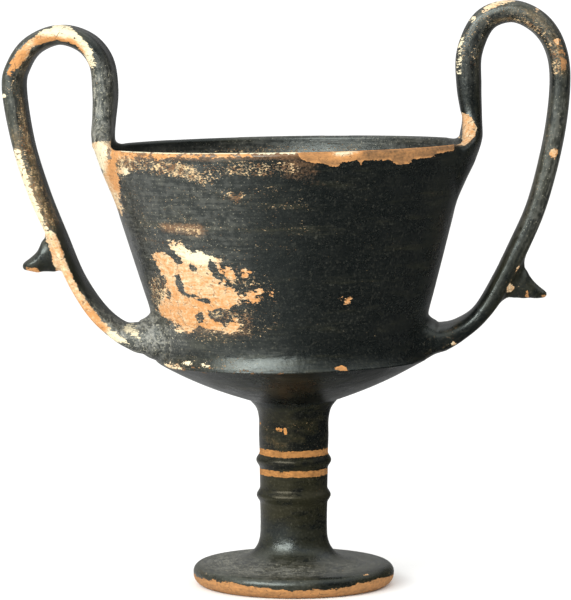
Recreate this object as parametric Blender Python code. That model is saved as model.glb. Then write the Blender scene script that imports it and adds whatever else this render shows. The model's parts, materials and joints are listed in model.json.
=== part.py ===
"""Kantharos: a two-handled drinking cup of black-glazed fired clay, one piece with its stem and foot.

Metres, +Z up. The origin lies on the table, under the middle of the cup's whole width.
The stem stands a little to the right of it, because the bowl leans to the left on its stem.
"""

import math

import bmesh
import bpy
from mathutils import Vector

MM = 0.001

# The wheel-thrown body, in millimetres: radii from its own axis, heights above the table.
AXIS_X = 3.65  # the stem's axis, to the right of the origin
SEGMENTS = 44

FOOT_RADIUS = 44.4
FOOT_THICKNESS = 9.3
FOOT_LOWER_ROUND = 4.8  # the edge is rounded more below than above
FOOT_UPPER_ROUND = 3.8
FOOT_REST_INNER = 31.0  # inner edge of the flat ring that the cup stands on
HOLLOW_MOUTH = 24.0  # the hollow under the foot, where it turns up into the stem
HOLLOW_MOUTH_DEPTH = 5.0
HOLLOW_NECK = 12.0
HOLLOW_NECK_DEPTH = 10.0
HOLLOW_RADIUS = 7.0
HOLLOW_SHOULDER = 20.0
HOLLOW_TOP = 62.0
HOLLOW_TOP_ROUND = 3.0

# The foot's upper face, sweeping in and up to the stem: radii, and heights above its edge.
FOOT_SWEEP = ((34.0, 0.7), (25.5, 1.7), (20.0, 3.6), (16.6, 7.0), (15.0, 11.6))
STEM_RADIUS = 14.7
STEM_LOW = 27.0
STEM_HIGH = 66.0
STEM_TOP_RADIUS = 15.4
RINGS = ((39.6, 14.9), (55.2, 15.1))  # the two raised rings: heights, and stem radii there
RING_PROUD = 1.5
RING_HALF_HEIGHT = 3.6

BOWL_START = 74.0  # where the stem turns out into the underside of the bowl
BOWL_TURN = (16.5, 78.2)  # halfway round that turn
UNDERSIDE_RADIUS = 19.4
UNDERSIDE_HEIGHT = 82.0
LEDGE_RADIUS = 60.0  # the sharp turn between underside and wall
LEDGE_HEIGHT = 99.9
UNDERSIDE_SWELL = 1.2
LEDGE_EDGE = (0.3, 1.0)  # how far in and up its worn edge reaches
BAND_LOW = (58.7, 103.4)  # the hollowed band that sweeps in from the ledge to the wall
BAND_HIGH = (57.9, 106.4)
WALL_START = (57.7, 109.5)
RIM_RADIUS = 81.4
RIM_HEIGHT = 194.6
WALL_SWELL = 0.2  # how far the wall's outline bows outwards
RIM_THICKNESS = 3.4
INNER_RIM_DEPTH = 6.0  # the lip is full to here, and the wall thickens on the way down
INNER_FOOT = (53.4, 108.9)  # where the inner wall starts to turn into the floor
FLOOR_TURN = ((50.0, 102.9), (43.0, 97.9), (30.0, 91.9), (15.0, 89.1))
FLOOR_HEIGHT = 88.5

# The bowl sits on its stem a little off true.
LEAN = math.radians(2.05)  # how far its middle wanders to the left on the way up
RIM_TILT = math.radians(1.05)  # how far its level lines drop to the left
LEAN_FROM, LEAN_FULL = 70.0, 90.0
BOWL_SHIFT = 0.4

# Strap handles. A station is the strap's middle, out from the middle of the cup and up from the
# table, its thickness, its half width, and how closely it hugs the round wall: 0 flat, 1 all round.
STRAP_SIDES = 14
STATION_STEPS = 3
STRAP_GROOVE = 0.9
HUG_RADIUS = 81.0
LEFT_STATIONS = {
    "tail of the upper root": (72.6, 167.0, 2.2, 13.0, 1.0),
    "upper root": (77.8, 180.0, 4.2, 25.0, 1.0),
    "at the rim": (81.0, 191.5, 6.4, 34.0, 1.0),
    "over the rim": (80.2, 198.0, 9.8, 21.0, 0.7),
    "foot of the inner leg": (79.2, 206.0, 10.2, 13.0, 0.2),
    "inner leg": (78.6, 218.0, 10.8, 12.0, 0.0),
    "inner shoulder": (80.4, 230.6, 10.4, 12.0, 0.0),
    "inner arch": (87.4, 239.2, 10.0, 12.0, 0.0),
    "top": (99.0, 242.6, 9.6, 12.0, 0.0),
    "outer arch": (110.6, 238.0, 9.4, 12.0, 0.0),
    "outer shoulder": (117.2, 229.2, 9.8, 12.0, 0.0),
    "elbow": (119.4, 218.5, 10.0, 12.0, 0.0),
    "outer leg": (115.4, 194.5, 9.0, 12.0, 0.0),
    "middle of the outer leg": (108.4, 172.5, 8.4, 12.0, 0.0),
    "over the spur": (99.8, 152.5, 7.2, 12.2, 0.0),
    "under the spur": (92.2, 135.0, 6.8, 12.6, 0.0),
    "lower bend": (83.0, 121.0, 7.2, 13.4, 0.0),
    "lower root": (73.6, 112.4, 8.8, 16.0, 0.4),
    "at the wall": (62.0, 107.9, 15.8, 24.0, 0.9),
    "in the wall": (53.8, 109.6, 20.0, 32.0, 1.0),
}
RIGHT_STATIONS = {
    "tail of the upper root": (72.6, 167.0, 2.2, 13.0, 1.0),
    "upper root": (77.6, 180.0, 4.6, 25.0, 1.0),
    "at the rim": (81.2, 192.0, 6.8, 34.0, 1.0),
    "over the rim": (81.4, 198.0, 9.8, 21.0, 0.7),
    "foot of the inner leg": (81.2, 207.0, 9.8, 13.0, 0.2),
    "inner leg": (80.0, 220.0, 11.4, 12.0, 0.0),
    "inner shoulder": (80.2, 235.0, 11.8, 12.0, 0.0),
    "inner arch": (86.8, 248.8, 11.4, 12.0, 0.0),
    "top": (98.9, 253.0, 10.6, 12.0, 0.0),
    "outer arch": (110.4, 248.2, 10.6, 12.0, 0.0),
    "outer shoulder": (117.8, 238.0, 10.0, 12.0, 0.0),
    "elbow": (120.4, 223.0, 9.8, 12.0, 0.0),
    "outer leg": (118.0, 198.5, 9.8, 12.0, 0.0),
    "middle of the outer leg": (111.2, 170.0, 9.6, 12.0, 0.0),
    "over the spur": (103.0, 150.0, 10.0, 12.2, 0.0),
    "under the spur": (93.2, 130.4, 9.8, 12.6, 0.0),
    "lower bend": (85.4, 119.2, 9.0, 13.4, 0.0),
    "lower root": (76.6, 112.6, 10.0, 16.0, 0.4),
    "at the wall": (66.0, 108.4, 14.6, 24.0, 0.9),
    "in the wall": (58.2, 110.2, 19.4, 32.0, 1.0),
}
HANDLE_TURN = math.radians(6.5)  # both straps are set on a little turned
TURN_ABOUT = 80.0

# Spurs: upright slices going out from the leg, each its distance out, bottom, top and half width.
SPUR_SIDES = 10
LEFT_SPUR = (
    (97.0, 138.0, 156.0, 6.6),
    (103.0, 138.4, 157.0, 6.6),
    (106.6, 138.4, 152.6, 6.2),
    (109.0, 138.0, 147.6, 5.8),
    (112.0, 138.6, 144.6, 5.0),
    (114.6, 139.2, 142.6, 3.6),
)
RIGHT_SPUR = (
    (95.0, 125.6, 142.0, 6.6),
    (100.6, 126.8, 144.0, 6.6),
    (104.8, 126.6, 141.6, 6.2),
    (107.4, 126.8, 136.6, 5.8),
    (110.4, 126.6, 133.0, 5.0),
    (113.8, 127.0, 130.2, 3.6),
)


def arc(centre, radius, start, end, steps):
    """Points on an arc in the outline's plane, from one angle to another in degrees."""
    angles = (math.radians(start + (end - start) * i / steps) for i in range(steps + 1))
    return [(centre[0] + radius * math.cos(a), centre[1] + radius * math.sin(a)) for a in angles]


def bowed(start, end, bow, steps):
    """Points between two ends, bowed to the right of the way from start to end."""
    run = Vector(end) - Vector(start)
    side = Vector((run.y, -run.x)).normalized() * bow
    ways = [i / steps for i in range(steps + 1)]
    return [tuple(Vector(start) + run * way + side * math.sin(math.pi * way)) for way in ways]


def hollow_outline():
    """The hollow under the foot, from its top on the axis down to the resting ring."""
    top_round = HOLLOW_TOP_ROUND
    return [
        (0.0, HOLLOW_TOP),
        *arc((HOLLOW_RADIUS - top_round, HOLLOW_TOP - top_round), top_round, 90, 0, 2),
        (HOLLOW_RADIUS, HOLLOW_SHOULDER),
        (HOLLOW_NECK, HOLLOW_NECK_DEPTH),
        (HOLLOW_MOUTH, HOLLOW_MOUTH_DEPTH),
        (FOOT_REST_INNER, 0.0),
    ]


def foot_outline():
    low, high = FOOT_LOWER_ROUND, FOOT_UPPER_ROUND
    return [
        *arc((FOOT_RADIUS - low, low), low, -90, -8, 4),
        *arc((FOOT_RADIUS - high, FOOT_THICKNESS - high), high, 4, 84, 4),
        *((radius, FOOT_THICKNESS + above) for radius, above in FOOT_SWEEP),
    ]


def ring_outline(height, radius):
    """A raised ring on the stem, from its lower edge to its upper edge."""
    points = []
    for across in (-1.0, -0.6, -0.3, 0.0, 0.3, 0.6, 1.0):
        proud = RING_PROUD * math.cos(across * math.pi / 2) ** 2
        points.append((radius + proud, height + across * RING_HALF_HEIGHT))
    return points


def stem_outline():
    rings = (point for ring in RINGS for point in ring_outline(*ring))
    return [(STEM_RADIUS, STEM_LOW), *rings, (STEM_TOP_RADIUS, STEM_HIGH)]


def underside_outline():
    return [
        (STEM_TOP_RADIUS, BOWL_START),
        BOWL_TURN,
        *bowed(
            (UNDERSIDE_RADIUS, UNDERSIDE_HEIGHT),
            (LEDGE_RADIUS, LEDGE_HEIGHT),
            UNDERSIDE_SWELL,
            5,
        ),
    ]


def wall_outline():
    return [
        (LEDGE_RADIUS - LEDGE_EDGE[0], LEDGE_HEIGHT + LEDGE_EDGE[1]),
        BAND_LOW,
        BAND_HIGH,
        *bowed(WALL_START, (RIM_RADIUS, RIM_HEIGHT - RIM_THICKNESS / 2), WALL_SWELL, 5),
    ]


def inside_outline():
    lip = RIM_THICKNESS / 2
    rim_in = RIM_RADIUS - RIM_THICKNESS
    return [
        *arc((RIM_RADIUS - lip, RIM_HEIGHT - lip), lip, 35, 180, 4),
        *bowed((rim_in, RIM_HEIGHT - INNER_RIM_DEPTH), INNER_FOOT, -WALL_SWELL, 4),
        *FLOOR_TURN,
        (0.0, FLOOR_HEIGHT),
    ]


def leaned(point):
    """A point of the true-running body, in millimetres, moved to where the leaning cup has it."""
    amount = min(max((point.z - LEAN_FROM) / (LEAN_FULL - LEAN_FROM), 0.0), 1.0)
    amount = amount * amount * (3 - 2 * amount)
    drift = BOWL_SHIFT - (point.z - LEAN_FROM) * math.tan(LEAN)
    rise = point.x * math.tan(RIM_TILT)
    return Vector((AXIS_X + point.x + drift * amount, point.y, point.z + rise * amount))


def add_object(name, bm):
    """An object from a bmesh in millimetres, its faces turned outwards and shaded smooth."""
    bmesh.ops.scale(bm, vec=(MM, MM, MM), verts=bm.verts)
    bmesh.ops.recalc_face_normals(bm, faces=bm.faces)
    mesh = bpy.data.meshes.new(name)
    bm.to_mesh(mesh)
    bm.free()
    mesh.shade_smooth()
    mesh.set_sharp_from_angle(angle=math.radians(35))
    obj = bpy.data.objects.new(name, mesh)
    bpy.context.scene.collection.objects.link(obj)
    return obj


def turned_body():
    """The bowl, stem and foot, spun from one closed outline and then leaned."""
    outline = [
        *hollow_outline(),
        *foot_outline(),
        *stem_outline(),
        *underside_outline(),
        *wall_outline(),
        *inside_outline(),
    ]
    bm = bmesh.new()
    verts = [bm.verts.new((r, 0.0, z)) for r, z in outline]
    edges = [bm.edges.new(pair) for pair in zip(verts, verts[1:])]
    bmesh.ops.spin(bm, geom=verts + edges, cent=(0, 0, 0), axis=(0, 0, 1), angle=math.tau, steps=SEGMENTS)
    bmesh.ops.remove_doubles(bm, verts=bm.verts, dist=0.001)
    for vert in bm.verts:
        vert.co = leaned(vert.co)
    return add_object("kantharos", bm)


def loft(name, rings):
    """A closed body through rings of points, with a flat cap at each end."""
    bm = bmesh.new()
    loops = [[bm.verts.new(point) for point in ring] for ring in rings]
    count = len(rings[0])
    for low, high in zip(loops, loops[1:]):
        for i in range(count):
            j = (i + 1) % count
            bm.faces.new((low[i], low[j], high[j], high[i]))
    bm.faces.new(loops[0])
    bm.faces.new(loops[-1])
    return add_object(name, bm)


def helper(obj):
    """Marks a body that is only there to be joined to the cup."""
    obj.hide_render = True
    obj.display_type = "WIRE"
    return obj


def smoothed(stations, steps):
    """A smooth run of stations through the given ones (Catmull-Rom)."""
    points = [Vector(s) for s in stations]
    padded = [points[0] * 2 - points[1], *points, points[-1] * 2 - points[-2]]
    run = []
    for a, b, c, d in zip(padded, padded[1:], padded[2:], padded[3:]):
        for i in range(steps):
            t = i / steps
            square = a * 2 - b * 5 + c * 4 - d
            cube = b * 3 - a - c * 3 + d
            run.append(0.5 * (b * 2 + (c - a) * t + square * t**2 + cube * t**3))
    return [*run, points[-1]]


def strap_section(thickness, half_width):
    """Across the strap: rounded edges, a shallow groove down its outer face. Pairs of (across, out)."""
    section = []
    for i in range(STRAP_SIDES):
        angle = math.tau * i / STRAP_SIDES
        c, s = math.cos(angle), math.sin(angle)
        across = math.copysign(abs(c) ** 0.75, c)
        out = math.copysign(abs(s) ** 0.75, s) * thickness / 2
        if out > 0:
            out -= STRAP_GROOVE * (1 - across * across) ** 2
        section.append((across * half_width, out))
    return section


def handle(name, side, stations):
    """A strap swept through its stations. side is -1 for the left handle, 1 for the right."""
    run = smoothed(list(stations.values()), STATION_STEPS)
    rings = []
    for i, station in enumerate(run):
        ahead, behind = run[min(i + 1, len(run) - 1)], run[max(i - 1, 0)]
        along = Vector((ahead[0] - behind[0], ahead[1] - behind[1])).normalized()
        outer_side = Vector((-along.y, along.x))
        middle, thickness, half_width, hug = Vector(station[:2]), station[2], station[3], station[4]
        ring = []
        for across, out in strap_section(thickness, half_width):
            reach, height = middle + outer_side * out
            round_wall = across / HUG_RADIUS
            turn = HANDLE_TURN * (hug - 1) * side
            flat = (
                TURN_ABOUT + (reach - TURN_ABOUT) * math.cos(turn) - across * math.sin(turn),
                (reach - TURN_ABOUT) * math.sin(turn) + across * math.cos(turn),
            )
            hugged = (reach * math.cos(round_wall), reach * math.sin(round_wall))
            x, y = (f + (h - f) * hug for f, h in zip(flat, hugged))
            ring.append((x * side, y, height))
        rings.append(ring)
    return helper(loft(name, rings))


def spur(name, side, slices):
    """The thorn on the outer leg, through upright slices that shrink towards its tip."""
    rings = []
    for reach, low, high, half_width in slices:
        middle, half_height = (low + high) / 2, (high - low) / 2
        ring = []
        for i in range(SPUR_SIDES):
            angle = math.tau * (i + 0.5) / SPUR_SIDES
            c, s = math.cos(angle), math.sin(angle)
            y = math.copysign(abs(c) ** 0.8, c) * half_width
            ring.append((reach * side, y, middle + math.copysign(abs(s) ** 0.8, s) * half_height))
        rings.append(ring)
    return helper(loft(name, rings))


def black_gloss():
    """Fired slip: nearly black, a little green, with a soft shine."""
    material = bpy.data.materials.new("black gloss slip")
    material.use_nodes = True
    shader = material.node_tree.nodes["Principled BSDF"]
    shader.inputs["Base Color"].default_value = (0.018, 0.022, 0.021, 1.0)
    shader.inputs["Roughness"].default_value = 0.28
    shader.inputs["Metallic"].default_value = 0.0
    return material


def clear_scene():
    for obj in list(bpy.data.objects):
        bpy.data.objects.remove(obj, do_unlink=True)


def main():
    clear_scene()
    cup = turned_body()
    joined = (
        handle("left handle", -1, LEFT_STATIONS),
        handle("right handle", 1, RIGHT_STATIONS),
        spur("left spur", -1, LEFT_SPUR),
        spur("right spur", 1, RIGHT_SPUR),
    )
    for piece in joined:
        union = cup.modifiers.new(f"join {piece.name}", "BOOLEAN")
        union.operation = "UNION"
        union.solver = "EXACT"
        union.object = piece
    cup.data.materials.append(black_gloss())


main()
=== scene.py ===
import json
import math

import bpy
import numpy as np
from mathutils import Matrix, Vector
from mathutils.bvhtree import BVHTree

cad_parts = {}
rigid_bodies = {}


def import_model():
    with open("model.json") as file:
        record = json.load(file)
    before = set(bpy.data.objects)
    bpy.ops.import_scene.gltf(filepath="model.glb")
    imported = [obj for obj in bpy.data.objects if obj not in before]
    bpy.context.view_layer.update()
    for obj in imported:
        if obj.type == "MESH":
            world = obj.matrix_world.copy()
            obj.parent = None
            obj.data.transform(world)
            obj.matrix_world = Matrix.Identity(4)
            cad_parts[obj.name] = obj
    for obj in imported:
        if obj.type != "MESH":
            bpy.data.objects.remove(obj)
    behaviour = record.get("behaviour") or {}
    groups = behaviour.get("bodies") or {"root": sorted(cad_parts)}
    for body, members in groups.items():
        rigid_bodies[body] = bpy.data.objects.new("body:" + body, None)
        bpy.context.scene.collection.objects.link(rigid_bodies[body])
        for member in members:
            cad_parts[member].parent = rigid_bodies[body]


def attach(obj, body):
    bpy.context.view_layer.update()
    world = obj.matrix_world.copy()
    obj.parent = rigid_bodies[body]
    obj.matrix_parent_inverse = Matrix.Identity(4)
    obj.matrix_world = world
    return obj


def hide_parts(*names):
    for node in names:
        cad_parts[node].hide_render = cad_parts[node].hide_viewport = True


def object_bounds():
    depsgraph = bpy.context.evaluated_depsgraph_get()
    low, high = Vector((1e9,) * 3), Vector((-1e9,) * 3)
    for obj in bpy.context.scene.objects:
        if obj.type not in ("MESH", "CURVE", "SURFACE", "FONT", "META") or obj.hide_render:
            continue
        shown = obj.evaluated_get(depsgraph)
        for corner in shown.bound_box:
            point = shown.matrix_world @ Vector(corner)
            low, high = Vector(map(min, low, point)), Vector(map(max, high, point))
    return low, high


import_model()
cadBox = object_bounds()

mm = 0.001


# Small tools that every piece below uses. Meshes are read and written in millimetres.
def startFresh():
    if bpy.context.object and bpy.context.object.mode != "OBJECT":
        bpy.ops.object.mode_set(mode="OBJECT")
    bpy.ops.object.select_all(action="DESELECT")


def activate(piece):
    startFresh()
    piece.select_set(True)
    bpy.context.view_layer.objects.active = piece


def applyModifier(piece, kind, **settings):
    activate(piece)
    modifier = piece.modifiers.new(kind.lower(), kind)
    for name, value in settings.items():
        setattr(modifier, name, value)
    bpy.ops.object.modifier_apply(modifier=modifier.name)


def closeUp(piece):  # the mesh's doubles merged, its faces turned outwards, its place in its mesh
    activate(piece)
    bpy.ops.object.transform_apply(location=True, rotation=True, scale=True)
    bpy.ops.object.mode_set(mode="EDIT")
    bpy.ops.mesh.select_all(action="SELECT")
    bpy.ops.mesh.remove_doubles(threshold=0.00001)
    bpy.ops.mesh.normals_make_consistent(inside=False)
    bpy.ops.object.mode_set(mode="OBJECT")


def readPoints(piece):
    points = np.empty(len(piece.data.vertices) * 3, np.float32)
    piece.data.vertices.foreach_get("co", points)
    return points.reshape(-1, 3).astype(float) / mm


def readNormals(piece):
    normals = np.empty(len(piece.data.vertices) * 3, np.float32)
    piece.data.vertices.foreach_get("normal", normals)
    return normals.reshape(-1, 3).astype(float)


def writePoints(piece, points):
    piece.data.vertices.foreach_set("co", (points * mm).astype(np.float32).ravel())
    piece.data.update()


def smoothRun(points, steps):  # a smooth run of points through the given ones
    points = [np.array(point, float) for point in points]
    padded = [points[0] * 2 - points[1], *points, points[-1] * 2 - points[-2]]
    run = []
    for a, b, c, d in zip(padded, padded[1:], padded[2:], padded[3:]):
        for step in range(steps):
            t = step / steps
            square = a * 2 - b * 5 + c * 4 - d
            cube = b * 3 - a - c * 3 + d
            run.append(0.5 * (b * 2 + (c - a) * t + square * t**2 + cube * t**3))
    return [*run, points[-1]]


def arcRun(centre, radius, start, end, steps):  # angles in degrees
    angles = [math.radians(start + (end - start) * step / steps) for step in range(steps + 1)]
    return [(centre[0] + radius * math.cos(a), centre[1] + radius * math.sin(a)) for a in angles]


def bowedRun(start, end, bow, steps):  # nearly straight, bowed to the right of its way
    start, end = np.array(start, float), np.array(end, float)
    along = (end - start) / np.linalg.norm(end - start)
    side = np.array((along[1], -along[0])) * bow
    ways = [step / steps for step in range(steps + 1)]
    return [start + (end - start) * way + side * math.sin(math.pi * way) for way in ways]


def smoothStep(value, low, high):
    t = np.clip((value - low) / (high - low), 0.0, 1.0)
    return t * t * (3 - 2 * t)


print("camera")
# A long lens a metre and a half away, just above the rim's height and looking slightly down.
camera = {
    "place": (0.0, -1.540, 0.2641),
    "tip": math.radians(5.13),
    "lens": 210.8,
    "filmWidth": 36,
    "farthest": 50,
}
startFresh()
bpy.ops.object.camera_add(location=camera["place"], rotation=(math.radians(90) - camera["tip"], 0, 0))
viewCamera = bpy.context.object
viewCamera.data.lens = camera["lens"]
viewCamera.data.sensor_width = camera["filmWidth"]
viewCamera.data.clip_end = camera["farthest"]
bpy.context.scene.camera = viewCamera


print("the thrown body: bowl, stem and foot")
# Radii are from its own axis, heights from the table, all in millimetres, as the solid has them.
bodySizes = {
    "segments": 280,
    "stemAxis": 3.65,
    "hollowTop": 62,
    "hollowRadius": 7,
    "hollowRound": 3,
    "hollowWall": ((7, 45), (7, 30)),
    "hollowCone": ((7, 20), (12, 10), (24, 5), (31, 0)),
    "standsOn": (35, 0),
    "footRadius": 44.4,
    "footThickness": 9.3,
    "footLowerRound": 4.8,
    "footUpperRound": 3.8,
    "footSweep": (
        (38.6, 9.6), (34, 10), (25.5, 11), (20, 12.9), (16.6, 16.3), (15, 20.9), (14.7, 27)
    ),
    "underRings": (14.75, 31.5),
    "betweenRings": ((14.95, 45.2), (15.05, 49.6)),
    "rings": ((39.6, 14.9), (55.2, 15.1)),
    "ringProud": 1.5,
    "ringHalfHeight": 3.6,
    "stemTop": ((15.2, 60.5), (15.4, 66), (15.4, 73), (16.5, 78.2), (19.4, 82)),
    "ledge": (60, 99.9),
    "undersideSwell": 1.2,
    "band": ((60, 99.9), (59.95, 100.4), (59.6, 101.1), (58.7, 103.4), (57.9, 106.4), (57.7, 109.5)),
    "wallTop": (81.4, 192.9),
    "wallSwell": 0.2,
    "rimHeight": 194.6,
    "rimThickness": 3.4,
    "innerWall": ((78, 188.6), (53.4, 108.9)),
    "floor": ((53.4, 108.9), (50, 102.9), (43, 97.9), (30, 91.9), (15, 89.1), (0, 88.5)),
    "lean": math.radians(2.05),  # the bowl wanders to the left on the way up
    "rimTilt": math.radians(1.05),
    "leanFrom": 70,
    "leanFull": 90,
    "bowlShift": 0.4,
}


def ringRun(height, radius):
    halfHeight, proud = bodySizes["ringHalfHeight"], bodySizes["ringProud"]
    ways = np.linspace(-1, 1, 15)
    return [(radius + proud * math.cos(w * math.pi / 2) ** 2, height + w * halfHeight) for w in ways]


def bodyOutline():
    s = bodySizes
    lip = s["rimThickness"] / 2
    hollow, foot, low, high = s["hollowRound"], s["footRadius"], s["footLowerRound"], s["footUpperRound"]
    edgeTop = arcRun((foot - high, s["footThickness"] - high), high, 4, 84, 8)
    return [
        (0.0, s["hollowTop"]),
        *arcRun((s["hollowRadius"] - hollow, s["hollowTop"] - hollow), hollow, 90, 0, 4),
        *s["hollowWall"],
        *smoothRun(s["hollowCone"], 4),
        s["standsOn"],
        *arcRun((foot - low, low), low, -90, -8, 9),
        *edgeTop[:-1],
        *smoothRun((edgeTop[-1], *s["footSweep"]), 4),
        s["underRings"],
        *ringRun(*s["rings"][0]),
        *smoothRun(s["betweenRings"], 4),
        *ringRun(*s["rings"][1]),
        *smoothRun(s["stemTop"], 5)[:-1],
        *bowedRun(s["stemTop"][-1], s["ledge"], s["undersideSwell"], 24)[:-1],
        *smoothRun(s["band"], 3)[:-1],
        *bowedRun(s["band"][-1], s["wallTop"], s["wallSwell"], 46)[:-1],
        *arcRun((s["wallTop"][0] - lip, s["rimHeight"] - lip), lip, 0, 180, 12),
        *bowedRun(*s["innerWall"], -s["wallSwell"], 36)[:-1],
        *smoothRun(s["floor"], 4),
    ]


def leanBowl(points):
    s = bodySizes
    x, y, z = points.T
    amount = smoothStep(z, s["leanFrom"], s["leanFull"])
    drift = s["bowlShift"] - (z - s["leanFrom"]) * math.tan(s["lean"])
    rise = x * math.tan(s["rimTilt"])
    return np.stack((s["stemAxis"] + x + drift * amount, y, z + rise * amount), axis=1)


def asThrown(points):  # radius, angle to the right of the front, and height, before the bowl leaned
    s = bodySizes
    x, y, z = points.T
    ownX, ownZ = x - s["stemAxis"], z
    for _ in range(4):
        amount = smoothStep(ownZ, s["leanFrom"], s["leanFull"])
        drift = s["bowlShift"] - (ownZ - s["leanFrom"]) * math.tan(s["lean"])
        ownX = x - s["stemAxis"] - drift * amount
        ownZ = z - ownX * math.tan(s["rimTilt"]) * amount
    return np.hypot(ownX, y), np.degrees(np.arctan2(ownX, -y)), ownZ


def throwBody():
    outline = np.array([(r, 0.0, z) for r, z in bodyOutline()])
    startFresh()
    bpy.ops.mesh.primitive_plane_add(size=mm, location=outline[0] * mm)
    body = bpy.context.object
    body.name = "kantharosBody"
    bpy.ops.object.mode_set(mode="EDIT")
    bpy.ops.mesh.merge(type="CENTER")
    for step in np.diff(outline, axis=0) * mm:
        bpy.ops.mesh.extrude_region_move(TRANSFORM_OT_translate={"value": step})
    bpy.ops.mesh.select_all(action="SELECT")
    bpy.ops.mesh.spin(steps=bodySizes["segments"], angle=math.tau, center=(0, 0, 0), axis=(0, 0, 1))
    closeUp(body)
    writePoints(body, leanBowl(readPoints(body)))
    return body


body = throwBody()


print("strap handles and their spurs")
# A station: out from the middle, up from the table, thickness. Both straps share their breadths: half
# width, and how closely it hugs the round wall.
strapSizes = {
    "sides": 44,
    "steps": 8,
    "groove": 1,
    "squareness": 0.75,
    "turn": math.radians(6.5),
    "turnAbout": 80,
    "hugRadius": 81,
    "breadths": (
        (13, 1), (25, 1), (34, 1), (21, 0.7), (13, 0.2), (12, 0), (12, 0),
        (12, 0), (12, 0), (12, 0), (12, 0), (12, 0), (12, 0), (12, 0),
        (12.2, 0), (12.6, 0), (13.4, 0), (16, 0.4), (21, 0.9), (25, 1), (29, 1),
        (34, 1),
    ),
    "left": (
        (72.6, 167, 2.2),  # tail of the upper root, on the wall
        (77.8, 180, 4.2),
        (81, 191.5, 6.4),  # at the rim, spread wide round it
        (80.2, 198, 9.8),
        (79.2, 206, 10.2),
        (78.6, 218, 10.8),  # inner leg
        (80.4, 230.6, 10.4),
        (87.4, 239.2, 10),
        (99, 242.6, 9.6),  # top
        (110.6, 238, 9.4),
        (117.2, 229.2, 9.8),
        (119.4, 218.5, 10),  # elbow
        (115.4, 194.5, 9),
        (108.4, 172.5, 8.4),  # outer leg
        (99.8, 152.5, 7.2),
        (92.2, 135, 6.8),
        (83, 121, 7.2),  # lower bend
        (73.6, 112.4, 8.8),
        (66.6, 109.6, 12.8),  # lower root, flared into the foot of the wall
        (62.6, 109.5, 16.6),
        (59.4, 109.6, 22),
        (54.6, 110.2, 24),
    ),
    "right": (
        (72.6, 167, 2.2),
        (77.6, 180, 4.6),
        (81.2, 192, 6.8),
        (81.4, 198, 9.8),
        (81.2, 207, 9.8),
        (80, 220, 11.4),
        (80.2, 235, 11.8),
        (86.8, 248.8, 11.4),
        (98.9, 253, 10.6),
        (110.4, 248.2, 10.6),
        (117.8, 238, 10),
        (120.4, 223, 9.8),
        (118, 198.5, 9.8),
        (111.2, 170, 9.6),
        (103, 150, 10),
        (93.2, 130.4, 9.8),
        (85.4, 119.2, 9),
        (76.6, 112.6, 10),
        (69.6, 109.7, 12.8),
        (65.6, 109.4, 16.8),
        (62.2, 109.5, 22),
        (57, 110, 24.6),
    ),
}
# A spur's upright slices: distance out, bottom, top.
spurSizes = {
    "sides": 24,
    "steps": 4,
    "halfWidths": (6.6, 6.6, 6.2, 5.8, 5, 3.6, 1.8),
    "left": (
        (97, 138, 156),
        (103, 138.4, 157),
        (106.6, 138.4, 152.6),
        (109, 138, 147.6),
        (112, 138.6, 144.6),
        (114.6, 139.2, 142.6),
        (115.4, 140, 141.6),
    ),
    "right": (
        (95, 125.6, 142),
        (100.6, 126.8, 144),
        (104.8, 126.6, 141.6),
        (107.4, 126.8, 136.6),
        (110.4, 126.6, 133),
        (113.8, 127, 130.2),
        (114.8, 127.8, 129.2),
    ),
}


def strapRun(name, steps):  # the middle of a strap with its sizes, and the way along it to each point
    stations = [(*station, *breadth) for station, breadth in zip(strapSizes[name], strapSizes["breadths"])]
    run = np.array(smoothRun(stations, steps))
    strides = np.hypot(*np.diff(run[:, :2], axis=0).T)
    return run, np.concatenate(([0.0], np.cumsum(strides)))


def bendStrap(points, side, run, lengths):  # the straight bar laid along its stations
    s = strapSizes
    ring = np.abs(points[:, 2:3] - lengths).argmin(axis=1)
    ahead = run[np.minimum(ring + 1, len(run) - 1)]
    behind = run[np.maximum(ring - 1, 0)]
    along = ahead[:, :2] - behind[:, :2]
    along /= np.linalg.norm(along, axis=1, keepdims=True)
    middleOut, middleUp, thickness, halfWidth, hug = run[ring].T
    cosine = np.clip(points[:, 0] / halfWidth, -1, 1)
    sine = np.clip(points[:, 1] / (thickness / 2), -1, 1)
    across = np.sign(cosine) * np.abs(cosine) ** s["squareness"]
    out = np.sign(sine) * np.abs(sine) ** s["squareness"] * thickness / 2
    out -= np.where(out > 0, s["groove"] * (1 - across**2) ** 2, 0.0)
    across *= halfWidth
    reach = middleOut - along[:, 1] * out
    height = middleUp + along[:, 0] * out
    turn = s["turn"] * (hug - 1) * side
    flatX = s["turnAbout"] + (reach - s["turnAbout"]) * np.cos(turn) - across * np.sin(turn)
    flatY = (reach - s["turnAbout"]) * np.sin(turn) + across * np.cos(turn)
    hugX = reach * np.cos(across / s["hugRadius"])
    hugY = reach * np.sin(across / s["hugRadius"])
    x = (flatX + (hugX - flatX) * hug) * side
    return np.stack((x, flatY + (hugY - flatY) * hug, height), axis=1)


def makeStrap(name, side):
    run, lengths = strapRun(name, strapSizes["steps"])
    startFresh()
    bpy.ops.mesh.primitive_circle_add(vertices=strapSizes["sides"], radius=mm, fill_type="NGON")
    strap = bpy.context.object
    strap.name = name + "Strap"
    bpy.ops.object.mode_set(mode="EDIT")
    bpy.ops.transform.resize(value=(run[0, 3], run[0, 2] / 2, 1))
    for before, after, stride, length in zip(run, run[1:], np.diff(lengths), lengths[1:]):
        bpy.ops.mesh.extrude_region_move(TRANSFORM_OT_translate={"value": (0, 0, stride * mm)})
        bpy.ops.transform.resize(
            value=(after[3] / before[3], after[2] / before[2], 1), center_override=(0, 0, length * mm)
        )
    bpy.ops.object.mode_set(mode="OBJECT")
    writePoints(strap, bendStrap(readPoints(strap), side, run, lengths))
    closeUp(strap)
    return strap


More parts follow.
